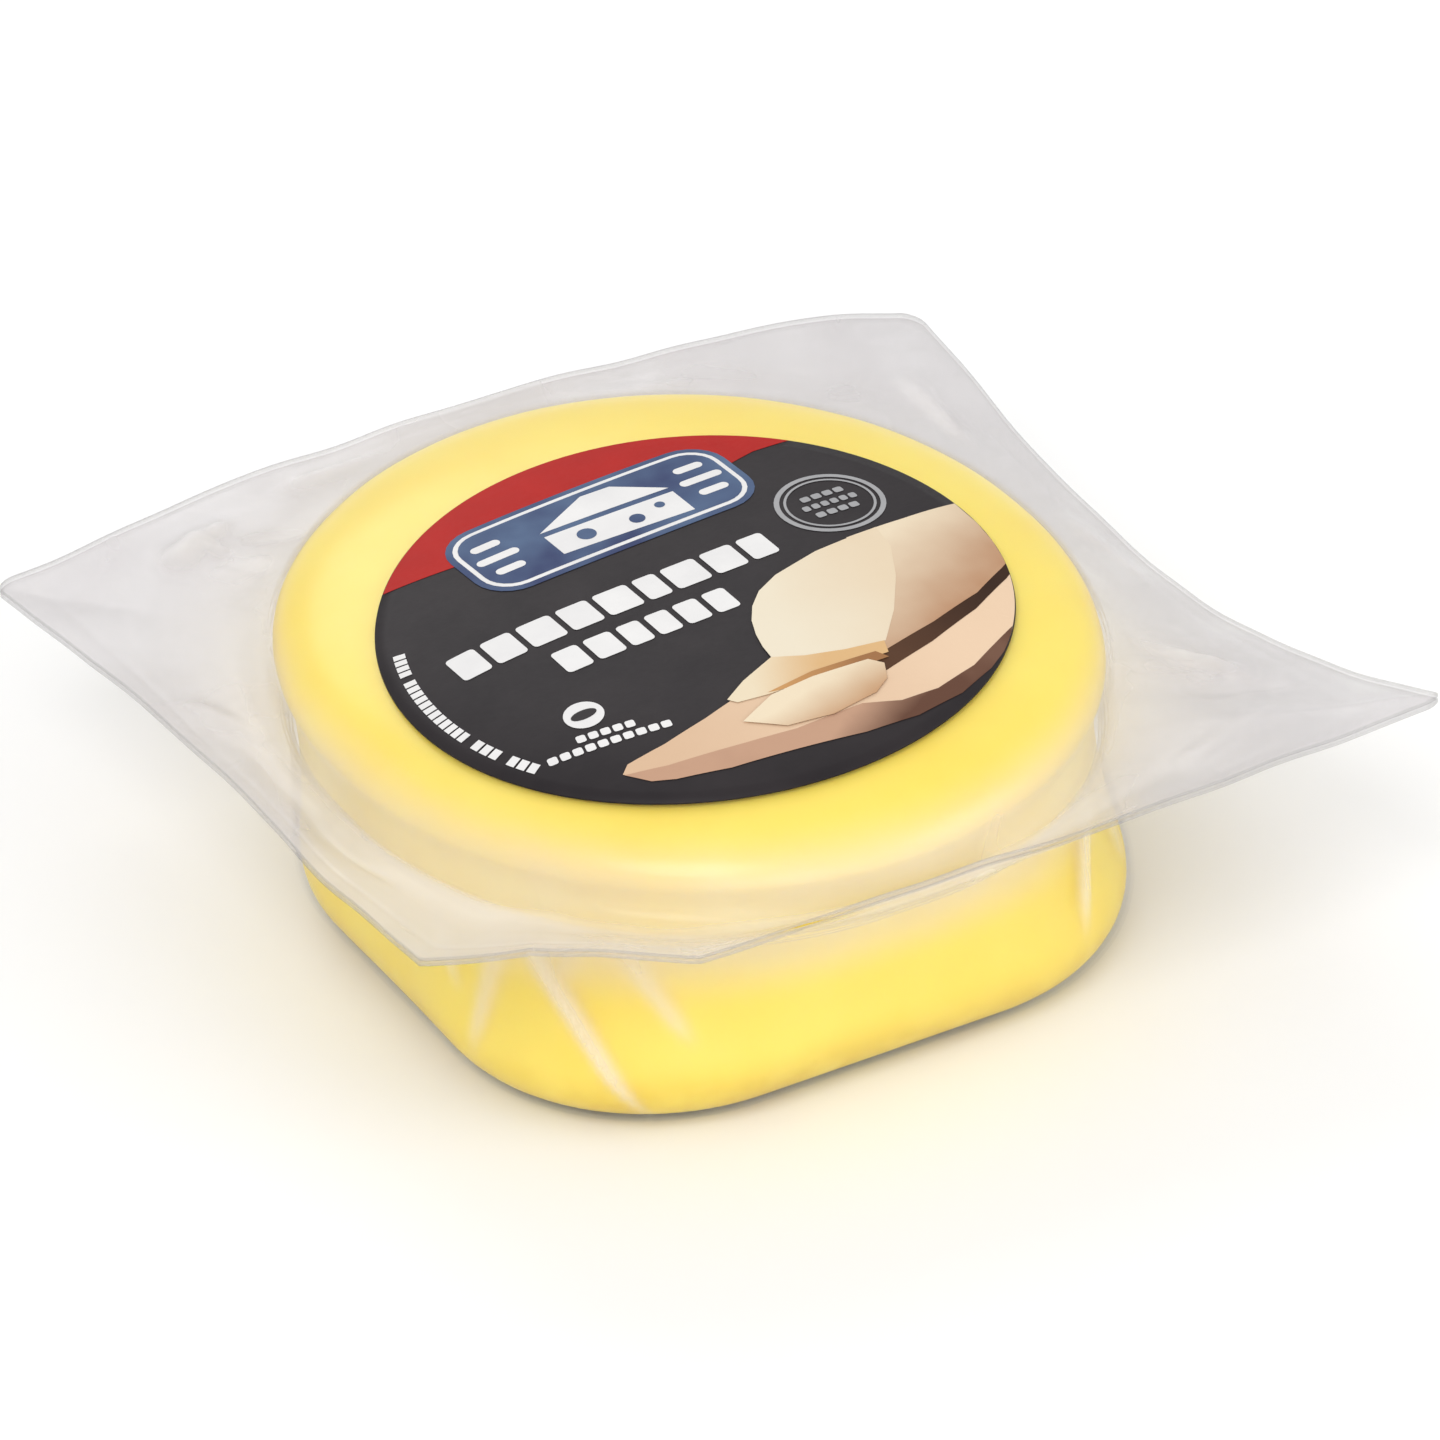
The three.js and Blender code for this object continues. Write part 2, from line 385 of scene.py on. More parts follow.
def makeMottle():
    # colour that drifts between two, with a roughness and a bump from finer noise
    group, start, end = groupOf(
        "softMottle",
        {"Colour": (1, 1, 1, 1), "Second": (1, 1, 1, 1), "Shade": 0.5, "Drift": 1.0, "Scale": 60.0,
         "Low Rough": 0.3, "High Rough": 0.5, "Bump": 0.1},
        {"Colour": "Color", "Roughness": "Float", "Normal": "Vector"})
    where = addNode(group, "ShaderNodeTexCoord").outputs["Object"]
    broad = addNode(group, "ShaderNodeTexNoise", Vector=where, Scale=start["Scale"], Detail=3.0,
                    Roughness=0.55)
    finer = mathNode(group, "MULTIPLY", start["Scale"], 9.0)
    fine = addNode(group, "ShaderNodeTexNoise", Vector=where, Scale=finer, Detail=4.0, Roughness=0.6)
    spread = rangeNode(group, broad.outputs["Fac"], (0.3, 0.7), (-0.5, 0.5))
    drifted = mathNode(group, "MULTIPLY_ADD", spread, start["Drift"], start["Shade"])
    bump = addNode(group, "ShaderNodeBump", Strength=start["Bump"], Distance=0.0004,
                   Height=fine.outputs["Fac"])
    feed(group, end["Colour"], mixNode(group, "RGBA", drifted, start["Colour"], start["Second"]))
    rough = mixNode(group, "FLOAT", fine.outputs["Fac"], start["Low Rough"], start["High Rough"])
    feed(group, end["Roughness"], rough)
    feed(group, end["Normal"], bump.outputs["Normal"])
    return group


filmLook = {
    "plain": (0.67, 0.64, 0.645, 1),
    "paintedGlow": (0.97, 0.9, 0.79, 1),  # painted glow: the round's warm light, painted into the film beside it
    "pale": (0.95, 0.91, 0.87, 1),  # in a crease
    "rim": (0.42, 0.41, 0.41, 1),
    "rimAlpha": 0.36,
    "cloudy": (0.8, 1.16),  # least and most of the cloud's share
    "rough": (0.16, 0.34),
    "fineShare": 0.05,
    "bump": 0.15,
    "clear": 0.02,
    "lid": {"Milky Alpha": 0.42, "Crease Alpha": 0.5},
    "pocket": {"Milky Alpha": 0.39, "Crease Alpha": 0.42},
}


def makeFilmHaze():
    # the film's cloudiness and colour from the masks painted on its mesh
    group, start, end = groupOf(
        "filmHaze",
        {"Clear Alpha": 0.03, "Milky Alpha": 0.2, "Crease Alpha": 0.5, "Cloud Scale": 55.0},
        {"Alpha": "Float", "Colour": "Color", "Roughness": "Float", "Height": "Float"})
    where = addNode(group, "ShaderNodeTexCoord").outputs["Object"]
    cloud = addNode(group, "ShaderNodeTexNoise", Vector=where, Scale=start["Cloud Scale"], Detail=2.5,
                    Roughness=0.5, Distortion=0.5).outputs["Fac"]
    fine = addNode(group, "ShaderNodeTexNoise", Vector=where, Scale=700.0, Detail=3.0, Roughness=0.5,
                   Distortion=1.5).outputs["Fac"]
    milk, crease, glow, rim = (maskNode(group, name) for name in ("milk", "crease", "glow", "rim"))
    patch = rangeNode(group, cloud, (0.3, 0.7), filmLook["cloudy"])
    base = mixNode(group, "FLOAT", milk, start["Clear Alpha"], start["Milky Alpha"])
    clouded = mathNode(group, "MULTIPLY", base, patch)
    creased = mixNode(group, "FLOAT", crease, clouded, start["Crease Alpha"])
    feed(group, end["Alpha"], mixNode(group, "FLOAT", rim, creased, filmLook["rimAlpha"]))
    # painted glow: the round's light is painted into the film's colour where the glow mask is high
    paintedGlowTint = mixNode(group, "RGBA", glow, filmLook["plain"], filmLook["paintedGlow"])
    pale = mixNode(group, "RGBA", crease, paintedGlowTint, filmLook["pale"])
    feed(group, end["Colour"], mixNode(group, "RGBA", rim, pale, filmLook["rim"]))
    feed(group, end["Roughness"], rangeNode(group, cloud, (0, 1), filmLook["rough"]))
    feed(group, end["Height"], mixNode(group, "FLOAT", filmLook["fineShare"], cloud, fine))
    return group


softMottle = makeMottle()
filmHaze = makeFilmHaze()


cheeseLook = {
    "top": (0.91, 0.725, 0.105, 1),
    "deep": (0.89, 0.665, 0.07, 1),
    "golden": (0.74, 0.5, 0.02, 1),  # in spots near the foot
    "rough": (0.36, 0.5),
    "soft": 0.25,  # how much light goes into it
    "softRadius": (1.0, 0.7, 0.2),
    "softReach": 0.004,
    "coat": 0.35,
    "coatRough": 0.22,
}


def cheeseMaterial():
    material, tree, shader = newMaterial("pressedCheese")
    lowRough, highRough = cheeseLook["rough"]
    mottle = useGroup(tree, softMottle, Colour=cheeseLook["top"], Second=cheeseLook["deep"], Scale=45.0,
                      Bump=0.06, **{"Low Rough": lowRough, "High Rough": highRough}).outputs
    where = addNode(tree, "ShaderNodeTexCoord").outputs["Object"]
    blotch = addNode(tree, "ShaderNodeTexNoise", Vector=where, Scale=170.0, Detail=3.0, Roughness=0.6)
    spots = rangeNode(tree, blotch.outputs["Fac"], (0.36, 0.62), (0.35, 1.0))
    # deeper golden in spots towards the foot
    goldenNearFoot = mathNode(tree, "MULTIPLY", maskNode(tree, "foot"), spots)
    golden = mixNode(tree, "RGBA", goldenNearFoot, mottle["Colour"], cheeseLook["golden"])
    for key, value in {
        "Base Color": golden,
        "Roughness": mottle["Roughness"],
        "Normal": mottle["Normal"],
        "Subsurface Weight": cheeseLook["soft"],
        "Subsurface Radius": cheeseLook["softRadius"],
        "Subsurface Scale": cheeseLook["softReach"],
        "Coat Weight": cheeseLook["coat"],
        "Coat Roughness": cheeseLook["coatRough"],
    }.items():
        feed(tree, shader.inputs[key], value)
    return material


def filmMaterial(name, values):
    material, tree, shader = newMaterial(name)
    haze = useGroup(tree, filmHaze, **{"Clear Alpha": filmLook["clear"]}, **values).outputs
    bump = addNode(tree, "ShaderNodeBump", Strength=filmLook["bump"], Distance=0.0006,
                   Height=haze["Height"])
    for key, value in {
        "Base Color": haze["Colour"],
        "Roughness": haze["Roughness"],
        "Alpha": haze["Alpha"],
        "Normal": bump.outputs["Normal"],
        "IOR": 1.5,
    }.items():
        feed(tree, shader.inputs[key], value)
    return material


def inkMaterial(name, light, dark, rough=0.42, scale=160.0, drift=0.6, pictured=False):
    # a matt ink that drifts between two colours; a pictured one goes by the shade painted on its mesh
    material, tree, shader = newMaterial(name)
    mottle = useGroup(tree, softMottle, Colour=(*light, 1), Second=(*dark, 1), Scale=scale, Drift=drift,
                      Bump=0.05, **{"Low Rough": rough - 0.05, "High Rough": rough + 0.08})
    if pictured:
        feed(tree, mottle.inputs["Shade"], maskNode(tree, "shade"))
    for key, socket in {"Colour": "Base Color", "Roughness": "Roughness", "Normal": "Normal"}.items():
        feed(tree, shader.inputs[socket], mottle.outputs[key])
    shader.inputs["Specular IOR Level"].default_value = 0.08
    return material


print("materials ready")


def makeCheese():
    profile = footProfile(0) + wallProfile(0, wallFoot, cheese["widest"]) + domeProfile(0)
    points, _, _ = turnedPoints(profile, cheese["around"])
    outward = points - points.mean(axis=0)
    outward /= np.linalg.norm(outward, axis=1)[:, None]
    # the skin is pressed in, hardly ever out, and not where the round stands
    dents = waves(points, cheese["dentLength"], 3) * cheese["dent"]
    dents -= 0.5 * cheese["dent"]
    dents *= smooth(points[:, 2], 1.0, 6.0)
    points = points + outward * np.minimum(dents, 0.02)[:, None]
    masks = {"foot": 1 - smooth(points[:, 2], 1.5, 11.0)}
    faces = turnedFaces(len(profile), cheese["around"])
    return bodyFrom(points, faces, "cheeseRound", cheeseMaterial(), "cheese", masks)


cheeseRound = makeCheese()
print("cheese made", len(cheeseRound.data.polygons))


# ridges pressed into the flange: start, stop, width and height in mm, and whiteness
flangeRidges = (
    ((39.2, -24.5), (46.6, -36), 1.7, 1.2, 0.6),
    ((42, -30), (44.6, -37), 0.6, -0.6, 0.0),
    ((40, -29.5), (43.2, -38), 0.9, 0.6, 0.35),
    ((37, -36), (50, -42), 2.2, -0.9, 0.0),
    ((49, 41), (48, 26), 1.8, 1.0, 0.2),
    ((50, 36), (50, 30), 0.6, -0.5, 0.0),
    ((-42, 48), (-32, 51), 2.6, 0.9, 0.4),
    ((-38, 51), (-35, 45), 1.3, 0.6, 0.45),
    ((-39, 43), (-31, 40.5), 2.0, 0.7, 0.3),
    ((-33, 47), (-27, 44), 1.1, -0.6, 0.2),
    ((-25, 52.5), (-14, 52.5), 1.8, 0.6, 0.35),
    ((-37, 45), (-33, 36), 1.2, -0.6, 0.0),
    ((-52, 20), (-48, 5), 1.6, 0.6, 0.1),
    ((-52, -8), (-50, -24), 1.4, -0.5, 0.0),
    ((10, 52), (26, 49), 1.8, 0.6, 0.2),
    ((50, 8), (51, -8), 1.5, 0.6, 0.1),
    ((30, -51), (44, -47), 1.6, 0.6, 0.1),
)

# gathers in the pocket's wall: start and stop as (angle in degrees, height in mm), width at each
# and depth in mm, and whiteness
pocketGathers = (
    ((-145.0, 23.5), (-153.0, 7), 1.9, 0.8, 0.4, 0.5),
    ((-142.5, 23.5), (-127.0, 3), 1.9, 0.5, 0.6, 0.8),
    ((-128.0, 23.5), (-120.0, 12), 1.6, 0.9, 0.4, 0.5),
    ((-135.0, 23.5), (-138.0, 15), 1.6, 1.2, 0.3, 0.3),
    ((-159.5, 23), (-155.0, 13), 1.6, 1.0, 0.4, 0.4),
    ((-52.5, 23.5), (-57.5, 9), 1.7, 0.7, 0.5, 0.75),
    ((-45.5, 23), (-41.0, 10), 1.3, 0.7, 0.4, 0.45),
    ((41.5, 23.5), (37.0, 8), 1.7, 0.7, 0.5, 0.7),
    ((50.5, 23), (57.0, 10), 1.4, 0.7, 0.4, 0.5),
    ((132.5, 23.5), (128.0, 6), 1.7, 0.7, 0.5, 0.7),
    ((141.5, 23), (149.0, 10), 1.4, 0.7, 0.4, 0.5),
)


def flangeShape(points, out):
    # ripples and pressed ridges of the flange; returns how creased each point is
    x, y = points[:, 0], points[:, 1]
    flat = np.column_stack((x, y, np.zeros(len(x))))
    lift = waves(flat, flange["rippleLength"], 11) * flange["ripple"] * smooth(out, 0.25, 0.6)
    broken = np.clip(0.8 + 0.4 * waves(flat, flange["breakLength"], 23), *flange["breaks"])
    crease = np.zeros(len(x))
    for start, stop, width, height, white in flangeRidges:
        hit = ridge(x, y, start, stop, width, flange["ridgeEnd"] * width)
        lift += hit * height * mix(0.75, 1.0, broken) * smooth(out, 0.12, 0.4)
        crease = np.maximum(crease, hit * white * broken)
    points[:, 2] += lift
    return crease * smooth(out, 0.04, 0.2)


def nearCheese(points):
    # 1 at the round's side, fading out over the flange, slower where the flange hangs over the front;
    # it places the painted glow, the round's light painted into the film's colour, and makes the flange
    # milkier there
    x, y = (points[:, :2] - shift - pocketMiddle).T
    rim = cheese["half"] * (1 - cheese["oval"] * np.cos(2 * np.arctan2(y, x)))
    reach = np.hypot(x, y)
    hanging = (x * film["hangs"][0] + y * film["hangs"][1]) / np.maximum(reach, 1)
    fade = mix(film["glowReach"], film["glowHanging"], smooth(hanging, 0.5, 0.85))
    return np.exp(-np.maximum(reach - rim, 0) / fade)


def lidSide(off, flangeZ):
    # one face of the lid film, from the flange's edge to the top of the dome
    turn = flange["lidFillet"] + filmOut - off
    centreZ = sealLevel + film["gap"] / 2 + film["thick"] + flange["lidFillet"]
    centreX = cheese["half"] + filmOut + flange["lidFillet"]
    bend = arc(centreX, centreZ, turn, turn, -math.pi / 2, -math.pi, film["lidBendSteps"])
    return flangeProfile(flangeZ)[::-1] + bend + domeProfile(off)


def pocketSide(off, flangeZ):
    # one face of the pocket film, from the middle of its foot to the flange's edge
    turn = flange["pocketFillet"] + filmOut - off
    half = float(wallHalf(sealLevel))
    centreX = half + filmOut + flange["pocketFillet"]
    wall = wallProfile(off, wallFoot, pocketTurn)[:-1] + [(half + off, pocketTurn)]
    bend = arc(centreX, pocketTurn, turn, turn, math.pi, math.pi / 2, film["pocketBendSteps"])
    return footProfile(off) + wall + bend + flangeProfile(flangeZ)


def webFrom(name, node, profile, points, out, crease, close, milkyFrom):
    # a web of film; close is its milkiness beside the round, and the flange is milky from a share out
    # glow places the painted glow of the round's light on the film, and also raises its milkiness
    glow = nearCheese(points)
    milk = np.maximum(smooth(out, 0.0, milkyFrom) * mix(film["farMilk"], 1.0, glow), close)
    masks = {"milk": milk, "crease": crease, "glow": glow, "rim": smooth(out, 0.985, 1.0)}
    material = filmMaterial(name + "FilmClear", filmLook[name])
    faces = turnedFaces(len(profile), film["around"])
    return bodyFrom(points, faces, name + "Web", material, node, masks)


def makeLid():
    inside = lidSide(film["gap"], sealLevel + film["gap"] / 2)
    outside = lidSide(filmOut, sealLevel + film["gap"] / 2 + film["thick"])
    profile = inside[::-1] + outside
    points, out, _ = turnedPoints(profile, film["around"])
    crease = flangeShape(points, out)
    # the line pressed into the shoulder, and the seam of the seal just inside the edge
    x, y, z = points.T
    points[:, 2] -= ridge(x, y, *film["pressedLine"]) * (out < 0.3) * film["pressedDepth"]
    points[:, 2] -= np.exp(-(((out - film["seam"]) / film["seamWidth"]) ** 2)) * film["seamDepth"]
    leaving = 1 - smooth(z, cheese["widest"] - 0.5, cheese["widest"] + 4.5)
    close = film["shoulderMilk"] * leaving
    return webFrom("lid", "lid_film", profile, points, out, crease, close, 0.25)


def makePocket():
    inside = pocketSide(film["gap"], sealLevel - film["gap"] / 2)
    outside = pocketSide(filmOut, sealLevel - film["gap"] / 2 - film["thick"])
    profile = outside + inside[::-1]
    points, out, angle = turnedPoints(profile, film["around"])
    crease = flangeShape(points, out)
    z = points[:, 2]
    half = cheese["half"]
    around = np.radians((np.degrees(angle) + 180) % 360 - 180) * half
    wall = (out < 0.02) * smooth(z, 0.8, 2.0) * (1 - smooth(z, 22.5, 24.5))
    push = np.zeros(len(points))
    for (startAngle, startZ), (stopAngle, stopZ), width, endWidth, depth, white in pocketGathers:
        hit = ridge(around, z, (math.radians(startAngle) * half, startZ),
                    (math.radians(stopAngle) * half, stopZ), width, endWidth) * wall
        push += hit * depth
        crease = np.maximum(crease, hit * white)
    outward = points[:, :2] - points[:, :2].mean(axis=0)
    outward /= np.maximum(np.linalg.norm(outward, axis=1), 1e-6)[:, None]
    points[:, :2] += outward * push[:, None]
    close = film["wallMilk"] * smooth(z, 15, 26) * (out < 0.05)
    return webFrom("pocket", "pocket_film", profile, points, out, crease, close, 0.3)


pocketWeb = makePocket()
lidWeb = makeLid()
print("films made", len(pocketWeb.data.polygons), len(lidWeb.data.polygons))


labelCentre = np.array(labelMiddle[:2]) + (0, label["back"])
labelBase = filmOut + label["above"]


def makeLabel():
    columns, thick = label["around"], label["thick"]
    rings = np.linspace(0, label["radius"], label["rings"])
    profile = [(r, 0.0) for r in rings] + [(r, thick) for r in rings[::-1]]
    profile[len(rings)] = (label["radius"] - label["edge"], thick)
    reach, up = np.array(profile)[1:-1, None, :].transpose(2, 0, 1)
    angle = np.arange(columns) * 2 * np.pi / columns
    x = labelCentre[0] + reach * np.cos(angle)
    y = labelCentre[1] + reach * np.sin(angle)
    points = np.stack((x, y, topHeight(x, y, labelBase) + up), -1).reshape(-1, 3)
    top = float(topHeight(*labelCentre, labelBase))
    points = np.concatenate(([(*labelCentre, top)], points, [(*labelCentre, top + thick)]))
    faces = turnedFaces(len(profile), columns)
    ink = inkMaterial("labelBlack", *label["black"], rough=0.4, scale=120)
    return bodyFrom(points, faces, "labelDisc", ink, "label")


makeLabel()
print("label laid")

# the print, in mm from the label's middle
printLook = {
    "ink": 0.02,
    "layer": 0.03,  # between one ink layer and the next
    "reach": label["radius"] - 0.12,
    "pointStep": 1.2,
    "longest": 2.2,  # edge inside an ink shape
    "cap": (44, 140.5),  # angles between which it follows the rim
    "capEdge": ((-15, 20.6), (0, 19.6), (12, 20.8), (20, 23.4)),
    "badge": (-0.6, 20.2),
    "badgeSize": (34.8, 14.2),
    "badgeTurn": 3.6,
    "badgeLayers": (  # name, ink, inset, corner and layer
        ("printPlaqueBack", "blue", 0, 4.6, 2),
        ("printPlaqueLine", "white", 1.6, 3.8, 3),
        ("printPlaque", "blue", 2.7, 3.3, 4),
    ),
    "wedge": (
        ((-7, -4), (9, -5), (9, -0.4), (-7, 0.2)),
        ((-7, 1.1), (9, 0.5), (4, 4.7), (0.4, 4.9)),
    ),
    "holes": (((-3, -2.1), 1.1, 20), ((3, -2.8), 0.9, 20), ((6.4, -1.9), 0.6, 16)),
    "bars": ((2.8, 3.6), (0.1, 5.2), (-2.6, 3.6)),  # place up and length of each, on either side
    "barsAt": 12.9,
    "barHeight": 1.2,
    "headRows": (  # start, stop, height and block widths
        ((-27.1, 3.4), (12.4, 5.7), 4.5, (1, 1.05, 1.2, 1.1, 1.2, 0.8, 1.2, 1.1, 0.9)),
        ((-17.6, -2.5), (3.8, -1.5), 4.2, (1.1, 1.15, 0.95, 0.95, 1, 0.95)),
    ),
    "headGap": 0.75,
    "smallRows": (
        ((-22.3, -15.1), (-15.9, -16.2), 1.1, (1,) * 5),
        ((-26.3, -16.2), (-12.7, -18.4), 1.1, (1,) * 10),
    ),
    "smallGap": 0.32,
    "smallCorner": 0.25,
    "rimRows": ((161, 168.5, 4), (170, 193, 12), (195, 202, 3), (204, 211, 3)),  # angles and blocks
    "rimRadius": 32.0,
    "rimHeight": 1.3,
    "rimShare": 0.78,  # of a block in its step
    "stamp": (21.8, 9.3),
    "stampRings": (("printStampOuter", 5.8, 0.6), ("printStampInner", 4.9, 0.3)),  # radius and height
    "stampRows": ((1.9, 2.6), (0.1, 3.3), (-1.7, 2.6)),  # place up and half length of each
    "stampGap": 0.3,
    "icon": (-19.7, -11.9),
    "iconRadius": 2.2,
    "leaf": (1.5, 0.75),
}


def drape(points2d, lift):
    # takes points of the print, in mm from the label's middle, to its face
    u, v = np.asarray(points2d, float).T
    x, y = labelCentre[0] + u, labelCentre[1] + v
    z = topHeight(x, y, labelBase) + label["thick"] + lift
    return np.stack((x, y, z), -1)


def clipToLabel(outline):
    # draws in the part of an outline that is past the label's rim
    outline = np.asarray(outline, float)
    length = np.linalg.norm(outline, axis=1)
    share = np.minimum(1, printLook["reach"] / np.maximum(length, 1e-6))
    return outline * share[:, None]


def refined(outline):
    # an outline with points no further apart than a step
    outline = np.asarray(outline, float)
    points = []
    for a, b in zip(outline, np.roll(outline, -1, axis=0)):
        count = max(1, math.ceil(np.linalg.norm(b - a) / printLook["pointStep"]))
        points += [tuple(mix(a, b, i / count)) for i in range(count)]
    return points


def inkShape(outlines):
    # flat points, faces and the border's edges of one or more outlines filled with small triangles
    shape = bmesh.new()
    for outline in outlines:
        shape.faces.new([shape.verts.new((u, v, 0)) for u, v in outline])
    bmesh.ops.triangulate(shape, faces=shape.faces)
    for _ in range(5):
        long = [e for e in shape.edges if e.calc_length() > printLook["longest"]]
        if not long:
            break
        bmesh.ops.subdivide_edges(shape, edges=long, cuts=1)
        bmesh.ops.triangulate(shape, faces=shape.faces)
    bmesh.ops.recalc_face_normals(shape, faces=shape.faces)
    flat = np.array([v.co[:2] for v in shape.verts])
    shape.verts.index_update()
    faces = [[v.index for v in f.verts] for f in shape.faces]
    if shape.faces and next(iter(shape.faces)).normal.z < 0:
        faces = [f[::-1] for f in faces]
    border = []
    for edge in shape.edges:
        if len(edge.link_faces) != 1:
            continue
        face = [v.index for v in edge.link_faces[0].verts]
        a, b = (v.index for v in edge.verts)
        if face[(face.index(a) + 1) % len(face)] != b:
            a, b = b, a
        if edge.link_faces[0].normal.z < 0:
            a, b = b, a
        border.append((a, b))
    shape.free()
    return flat, faces, border


def inkSolid(name, outlines, material, lift, shade=None):
    # a thin layer of ink in the shape of one or more outlines, laid on the label; shade holds the
    # places where a pictured ink is light and dark
    flat, faces, border = inkShape(outlines)
    count = len(flat)
    walls = [(b, a, a + count, b + count) for a, b in border]
    under = [[i + count for i in reversed(f)] for f in faces]
    points = np.concatenate((drape(flat, lift + printLook["ink"]), drape(flat, lift)))
    masks = {}
    if shade:
        lightAt, darkAt = (np.array(spot, float) for spot in shade)
        line = darkAt - lightAt
        share = np.clip((flat - lightAt) @ line / (line @ line), 0, 1)
        masks["shade"] = np.concatenate((share, share))
    piece = bodyFrom(points, faces + under + walls, name, material, masks=masks)
    piece.data.shade_flat()


def turnedOutline(outline, centre, turn):
    # an outline turned by degrees and moved to a centre
    c, s = math.cos(math.radians(turn)), math.sin(math.radians(turn))
    return [(centre[0] + u * c - v * s, centre[1] + u * s + v * c) for u, v in outline]


def roundedBar(centre, length, height, turn=0.0, corner=None, steps=5):
    corner = height / 2 if corner is None else corner
    points = []
    for quarter, (sx, sy) in enumerate(((1, 1), (-1, 1), (-1, -1), (1, -1))):
        for i in range(steps + 1):
            angle = (quarter + i / steps) * math.pi / 2
            points.append((sx * (length / 2 - corner) + corner * math.cos(angle),
                           sy * (height / 2 - corner) + corner * math.sin(angle)))
    return turnedOutline(points, centre, turn)


def disc(centre, radius, steps=48):
    return [(centre[0] + radius * math.cos(a), centre[1] + radius * math.sin(a))
            for a in np.arange(steps) * 2 * math.pi / steps]


def arcBar(radius, start, stop, height):
    # a bar bent round the middle, between two angles in degrees
    angles = np.radians(np.linspace(start, stop, 3))
    outer, inner = ([(r * math.cos(a), r * math.sin(a)) for a in angles]
                    for r in (radius + height / 2, radius - height / 2))
    return outer + inner[::-1]


def ringBars(centre, radius, height, parts=24):
    # a ring made of short bars end to end
    bars = (arcBar(radius, 360 / parts * i, 360 / parts * (i + 1), height) for i in range(parts))
    return [[(centre[0] + u, centre[1] + v) for u, v in bar] for bar in bars]


def blockRow(start, stop, height, shares, gap, corner=0.5):
    # a row of plain blocks between two points, as wide as their shares say
    start, stop = np.array(start, float), np.array(stop, float)
    length = np.linalg.norm(stop - start)
    along = (stop - start) / length
    turn = math.degrees(math.atan2(along[1], along[0]))
    unit = (length - gap * (len(shares) - 1)) / sum(shares)
    blocks, reach = [], 0.0
    for share in shares:
        width = share * unit
        blocks.append(roundedBar(start + along * (reach + width / 2), width, height, turn, corner, 3))
        reach += width + gap
    return blocks


inks = {
    "white": inkMaterial("inkWhite", (0.8, 0.79, 0.78), (0.7, 0.69, 0.69)),
    "grey": inkMaterial("inkGrey", (0.4, 0.4, 0.41), (0.3, 0.3, 0.31)),
    "red": inkMaterial("inkRed", (0.45, 0.012, 0.008), (0.38, 0.01, 0.007)),
    "blue": inkMaterial("inkBlue", (0.035, 0.05, 0.13), (0.1, 0.16, 0.27), scale=70, drift=1.4),
    "black": inkMaterial("inkDark", (0.025, 0.022, 0.024), (0.04, 0.036, 0.038)),
}

